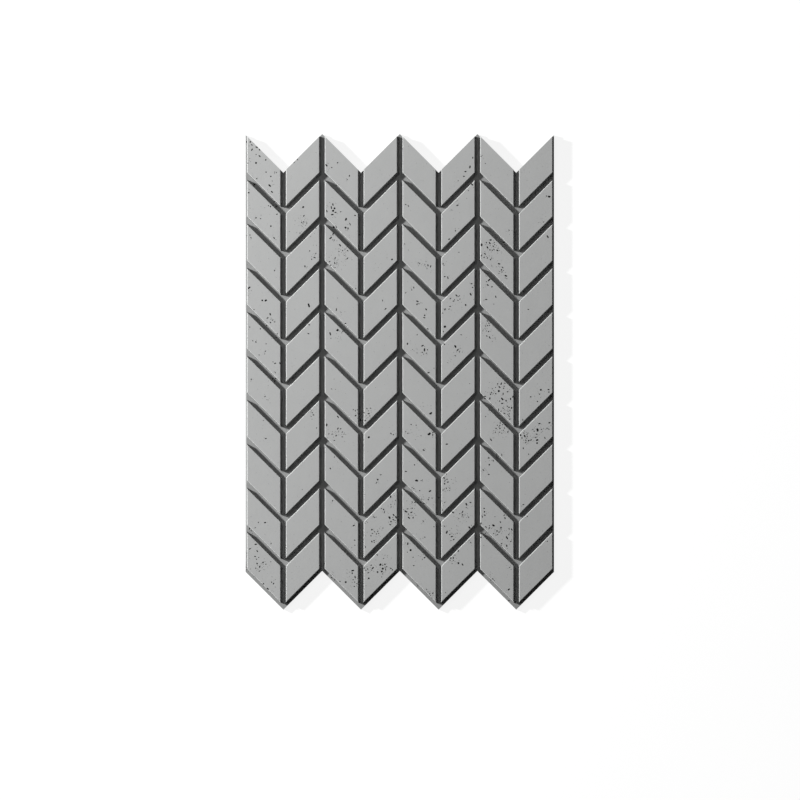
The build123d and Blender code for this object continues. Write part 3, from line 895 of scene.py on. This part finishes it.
def is_in_groove(place):
    """True above the base and clear of the outline, so not on an outer side or the back."""
    below_outline = upper_outline(place.x) - place.y
    is_inside = OUTLINE_MARGIN < below_outline < COLUMN_LENGTH - OUTLINE_MARGIN
    return is_inside and abs(place.x) < panel_high.x - OUTLINE_MARGIN and place.z > BASE_THICKNESS / 2


pick_only(cast_panel)
bpy.ops.object.shade_smooth_by_angle(angle=SMOOTH_ANGLE)
body = bmesh.new()
body.from_mesh(cast_panel.data)
depth_layer = body.loops.layers.float[DEPTH_NAME]
arris_layer = body.faces.layers.float.new(ARRIS_NAME)
groove_layer = body.faces.layers.float.new(GROOVE_NAME)
for face in body.faces:
    tilt = abs(face.normal.z)
    is_pit = face.loops[0][depth_layer] > 0
    is_arris = not is_pit and WALL_TILT < tilt < LEVEL_TILT
    face.smooth = is_pit or is_arris
    face[arris_layer] = float(is_arris)
    face[groove_layer] = float(is_in_groove(face.calc_center_median()))
for edge in body.edges:
    marks = [face[arris_layer] for face in edge.link_faces]
    if any(marks):
        one_way, other_way = (face.normal.xy.normalized() for face in edge.link_faces)
        edge.smooth = all(marks) and one_way.dot(other_way) > SAME_WAY
print("arris faces:", int(sum(face[arris_layer] for face in body.faces)))
body.to_mesh(cast_panel.data)
body.free()

# %% [markdown]
# ## Concrete
#
# The finish is fine grey concrete straight from the mould: nearly even, with soft clouds where the cement
# cured lighter and darker, a fine grain, pinholes too small to model, and no gloss. The clouds, the
# pinholes with their painted shade and the painted shades of pits and grooves are node groups, each with one
# job, so that they can be tried on other stone. All patterns read the object's own coordinates in metres, and
# a feature size in millimetres is turned into a noise scale.

# %% Node helpers
def new_group(name, inputs, outputs):
    """A shader node group with named sockets, its nodes and links, and its two end nodes."""
    group = bpy.data.node_groups.new(name, "ShaderNodeTree")
    for socket_name, kind, value in inputs:
        socket = group.interface.new_socket(name=socket_name, in_out="INPUT", socket_type=kind)
        if value is not None:
            socket.default_value = value
    for socket_name, kind in outputs:
        group.interface.new_socket(name=socket_name, in_out="OUTPUT", socket_type=kind)
    return group, group.nodes.new("NodeGroupInput"), group.nodes.new("NodeGroupOutput")


def feed(tree, socket, value):
    """Gives an input socket its value: a number is set, another node's output is linked."""
    if isinstance(value, (int, float)):
        socket.default_value = value
    else:
        tree.links.new(value, socket)


def add_math(tree, operation, *operands):
    """A math node; each operand is a number or another node's output."""
    node = tree.nodes.new("ShaderNodeMath")
    node.operation = operation
    for socket, operand in zip(node.inputs, operands):
        feed(tree, socket, operand)
    return node.outputs[0]


# %% [markdown]
# Clouds are noise, centred on a tone of 1, so that several of them can be multiplied and the concrete stays
# as light as it was on the whole. The same group serves for wide clouds and for grains of sand.

# %% Clouds
CLOUD_DETAIL = 3.0
CONTRAST = 4.0


def make_clouds():
    """Tone around 1: soft clouds of one size in millimetres, lighter and darker by the given amount."""
    group, start, end = new_group(
        "concrete_clouds",
        [("Position", "NodeSocketVector", None), ("Size", "NodeSocketFloat", 60.0),
         ("Amount", "NodeSocketFloat", 0.03)],
        [("Tone", "NodeSocketFloat")],
    )
    noise = group.nodes.new("ShaderNodeTexNoise")
    noise.inputs["Detail"].default_value = CLOUD_DETAIL
    feed(group, noise.inputs["Vector"], start.outputs["Position"])
    feed(group, noise.inputs["Scale"], add_math(group, "DIVIDE", 1 / MM, start.outputs["Size"]))
    # Noise is 0.5 on average, so this centres it on 0 and widens it
    centred = add_math(group, "MULTIPLY_ADD", noise.outputs["Fac"], CONTRAST, -CONTRAST / 2)
    tone = add_math(group, "MULTIPLY_ADD", centred, start.outputs["Amount"], 1.0)
    feed(group, end.inputs["Tone"], tone)
    return group


CLOUDS = make_clouds()
print("node group:", CLOUDS.name)

# %% [markdown]
# Pinholes sit one to a cell of a Voronoi pattern, around the cell's point. Each cell has a random colour,
# and its red tells whether the cell holds a pinhole at all, so that they don't come at even distances.

# %% Pinholes
def make_pinholes():
    """Mask of scattered pinholes: 1 inside a hole, 0 outside. Only a share of the cells holds one."""
    group, start, end = new_group(
        "concrete_pinholes",
        [("Position", "NodeSocketVector", None), ("Spacing", "NodeSocketFloat", 4.0),
         ("Share", "NodeSocketFloat", 0.3), ("Radius", "NodeSocketFloat", 0.1)],
        [("Mask", "NodeSocketFloat")],
    )
    cells = group.nodes.new("ShaderNodeTexVoronoi")
    feed(group, cells.inputs["Vector"], start.outputs["Position"])
    feed(group, cells.inputs["Scale"], add_math(group, "DIVIDE", 1 / MM, start.outputs["Spacing"]))
    near = add_math(group, "LESS_THAN", cells.outputs["Distance"], start.outputs["Radius"])
    chance = group.nodes.new("ShaderNodeSeparateColor")
    feed(group, chance.inputs["Color"], cells.outputs["Color"])
    holds = add_math(group, "LESS_THAN", chance.outputs["Red"], start.outputs["Share"])
    feed(group, end.inputs["Mask"], add_math(group, "MULTIPLY", near, holds))
    return group


PINHOLES = make_pinholes()
print("node group:", PINHOLES.name)

# %% [markdown]
# Light that falls into a pit hardly comes out again, so a pit gets painted shade, darker towards its
# bottom, by the depth that the mesh carries. The grooves get painted shade in a like way, by their height on
# the panel and the mark on their faces. The back has a mask of its own, made from the height too.

# %% Painted shade of the pits
PIT_RIM = 0.15
PIT_BOTTOM = 0.6


def make_pit_shade():
    """Painted shade: a tone that falls from 1 at a pit's rim to the given darkness at its bottom."""
    group, start, end = new_group(
        "pit_shade",
        [("Depth", "NodeSocketFloat", 0.0), ("Darkness", "NodeSocketFloat", 0.7)],
        [("Tone", "NodeSocketFloat")],
    )
    ramp = group.nodes.new("ShaderNodeMapRange")
    ramp.interpolation_type = "SMOOTHSTEP"
    feed(group, ramp.inputs["Value"], start.outputs["Depth"])
    ramp.inputs["From Min"].default_value = PIT_RIM
    ramp.inputs["From Max"].default_value = PIT_BOTTOM
    taken = add_math(group, "MULTIPLY", ramp.outputs["Result"], start.outputs["Darkness"])
    feed(group, end.inputs["Tone"], add_math(group, "SUBTRACT", 1.0, taken))
    return group


PIT_SHADE = make_pit_shade()
print("node group:", PIT_SHADE.name)

# %% Painted shade of the grooves
SHADE_STARTS = 0.5 * MM
SHADE_FULL = 3.5 * MM


def make_groove_shade():
    """Painted shade: a tone that falls from 1 at the tile faces to the given darkness some way down the
    marked grooves.
    """
    group, start, end = new_group(
        "groove_shade",
        [("Position", "NodeSocketVector", None), ("Mark", "NodeSocketFloat", 0.0),
         ("Darkness", "NodeSocketFloat", 0.2)],
        [("Tone", "NodeSocketFloat")],
    )
    split = group.nodes.new("ShaderNodeSeparateXYZ")
    feed(group, split.inputs["Vector"], start.outputs["Position"])
    ramp = group.nodes.new("ShaderNodeMapRange")
    feed(group, ramp.inputs["Value"], split.outputs["Z"])
    ramp.inputs["From Min"].default_value = FACE_Z - SHADE_STARTS
    ramp.inputs["From Max"].default_value = FACE_Z - SHADE_FULL
    marked = add_math(group, "MULTIPLY", ramp.outputs["Result"], start.outputs["Mark"])
    taken = add_math(group, "MULTIPLY", marked, start.outputs["Darkness"])
    feed(group, end.inputs["Tone"], add_math(group, "SUBTRACT", 1.0, taken))
    return group


GROOVE_SHADE = make_groove_shade()
print("node group:", GROOVE_SHADE.name)

# %% Mask of the back
BACK_LEVEL = 0.2 * MM


def make_back_mask():
    """Mask that is 1 on the back of the panel and 0 above it."""
    group, start, end = new_group(
        "back_mask", [("Position", "NodeSocketVector", None)], [("Mask", "NodeSocketFloat")]
    )
    split = group.nodes.new("ShaderNodeSeparateXYZ")
    feed(group, split.inputs["Vector"], start.outputs["Position"])
    feed(group, end.inputs["Mask"], add_math(group, "LESS_THAN", split.outputs["Z"], BACK_LEVEL))
    return group


BACK_MASK = make_back_mask()
print("node group:", BACK_MASK.name)

# %% [markdown]
# The concrete itself multiplies its written colour by three sizes of clouds, the pinholes with their painted
# shade and the painted shade of the pits. The grooves get painted shade from just below the tile faces, and
# the arrises a painted highlight that makes them paler on every side. The back was the open side of the
# mould, struck off with a board, so it is rougher and a little darker.

# %% Start the concrete
concrete = bpy.data.materials.new("cast_concrete")
concrete.use_nodes = True
tree = concrete.node_tree
shader = tree.nodes["Principled BSDF"]
position = tree.nodes.new("ShaderNodeTexCoord").outputs["Object"]


def use_group(group, **values):
    """A copy of a node group in the concrete, with its inputs set or linked."""
    node = tree.nodes.new("ShaderNodeGroup")
    node.node_tree = group
    for socket_name, value in values.items():
        feed(tree, node.inputs[socket_name], value)
    return node.outputs[0]


def read_mark(name):
    """The number that the mesh carries under this name."""
    node = tree.nodes.new("ShaderNodeAttribute")
    node.attribute_name = name
    return node.outputs["Fac"]


def product(first, *others):
    """Product of any number of tones."""
    for other in others:
        first = add_math(tree, "MULTIPLY", first, other)
    return first


print("new material:", concrete.name)

# %% Colour and gloss
CONCRETE_GREY = (0.415, 0.42, 0.417)
SPECULAR = 0.3
ROUGHNESS = 0.82
# Painted shade at the bottom of the pits
PIT_PAINTED_SHADE = 0.88
# Painted shade in the grooves
GROOVE_PAINTED_SHADE = 0.34
# Painted highlight on the arrises, on every side
ARRIS_PAINTED_HIGHLIGHT = 0.32
BACK_DARKER = 0.1
BACK_ROUGHER = 0.1
# Painted shade in the pinholes
PINHOLE_PAINTED_SHADE = 0.5

wide_clouds = use_group(CLOUDS, Position=position, Size=180.0, Amount=0.018)
small_clouds = use_group(CLOUDS, Position=position, Size=22.0, Amount=0.014)
sand = use_group(CLOUDS, Position=position, Size=1.3, Amount=0.05)
# Painted shade, darker towards the bottom of each pit
pit_painted_shade = use_group(PIT_SHADE, Depth=read_mark(DEPTH_NAME), Darkness=PIT_PAINTED_SHADE)
groove_mark = read_mark(GROOVE_NAME)
# Painted shade in the grooves, from just below the tile faces down
groove_painted_shade = use_group(GROOVE_SHADE, Position=position, Mark=groove_mark, Darkness=GROOVE_PAINTED_SHADE)
# Painted highlight: the arrises are made paler on every side
arris_painted_highlight = add_math(tree, "MULTIPLY_ADD", read_mark(ARRIS_NAME), ARRIS_PAINTED_HIGHLIGHT, 1.0)
back = use_group(BACK_MASK, Position=position)
back_tone = add_math(tree, "MULTIPLY_ADD", back, -BACK_DARKER, 1.0)
pinholes = use_group(PINHOLES, Position=position, Spacing=5.0, Share=0.35, Radius=0.09)
# Painted shade in the pinholes; the same tone is the height of their bump below
pinhole_shade_and_depth = add_math(tree, "MULTIPLY_ADD", pinholes, -PINHOLE_PAINTED_SHADE, 1.0)
tone = product(wide_clouds, small_clouds, sand, pit_painted_shade, groove_painted_shade, arris_painted_highlight, back_tone, pinhole_shade_and_depth)

toned = tree.nodes.new("ShaderNodeVectorMath")
toned.operation = "SCALE"
toned.inputs[0].default_value = CONCRETE_GREY
feed(tree, toned.inputs["Scale"], tone)
feed(tree, shader.inputs["Base Color"], toned.outputs["Vector"])
roughness = add_math(tree, "MULTIPLY_ADD", back, BACK_ROUGHER, ROUGHNESS)
feed(tree, shader.inputs["Roughness"], roughness)
feed(tree, shader.inputs["Specular IOR Level"], SPECULAR)
print("nodes for the colour:", len(tree.nodes))

# %% [markdown]
# The relief of the grain goes through four bump nodes, each laid over the last: long waves, ripples, single
# sand grains and the pinholes. The waves are much deeper on the back. Each height is a tone around 1.

# %% Fine relief
WAVE_DEPTH = 0.12 * MM
BACK_WAVE_DEPTH = 0.5 * MM
RIPPLE_DEPTH = 0.05 * MM
GRAIN_DEPTH = 0.03 * MM
PINHOLE_DEPTH = 0.3 * MM


def add_bump(height, depth, below):
    """A bump of the given depth in metres, laid over the one below it if there is one."""
    bump = tree.nodes.new("ShaderNodeBump")
    feed(tree, bump.inputs["Height"], height)
    feed(tree, bump.inputs["Distance"], depth)
    if below is not None:
        feed(tree, bump.inputs["Normal"], below)
    return bump.outputs["Normal"]


waves = use_group(CLOUDS, Position=position, Size=30.0, Amount=0.5)
ripples = use_group(CLOUDS, Position=position, Size=5.0, Amount=0.5)
grains = use_group(CLOUDS, Position=position, Size=0.7, Amount=0.5)
wave_depth = add_math(tree, "MULTIPLY_ADD", back, BACK_WAVE_DEPTH, WAVE_DEPTH)
bumped = add_bump(waves, wave_depth, None)
bumped = add_bump(ripples, RIPPLE_DEPTH, bumped)
bumped = add_bump(grains, GRAIN_DEPTH, bumped)
bumped = add_bump(pinhole_shade_and_depth, PINHOLE_DEPTH, bumped)
feed(tree, shader.inputs["Normal"], bumped)
cast_panel.data.materials.clear()
cast_panel.data.materials.append(concrete)
print("material nodes:", len(tree.nodes))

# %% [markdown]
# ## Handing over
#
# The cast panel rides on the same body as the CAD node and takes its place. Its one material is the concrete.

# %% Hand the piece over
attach(cast_panel, "root")
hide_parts("panel")
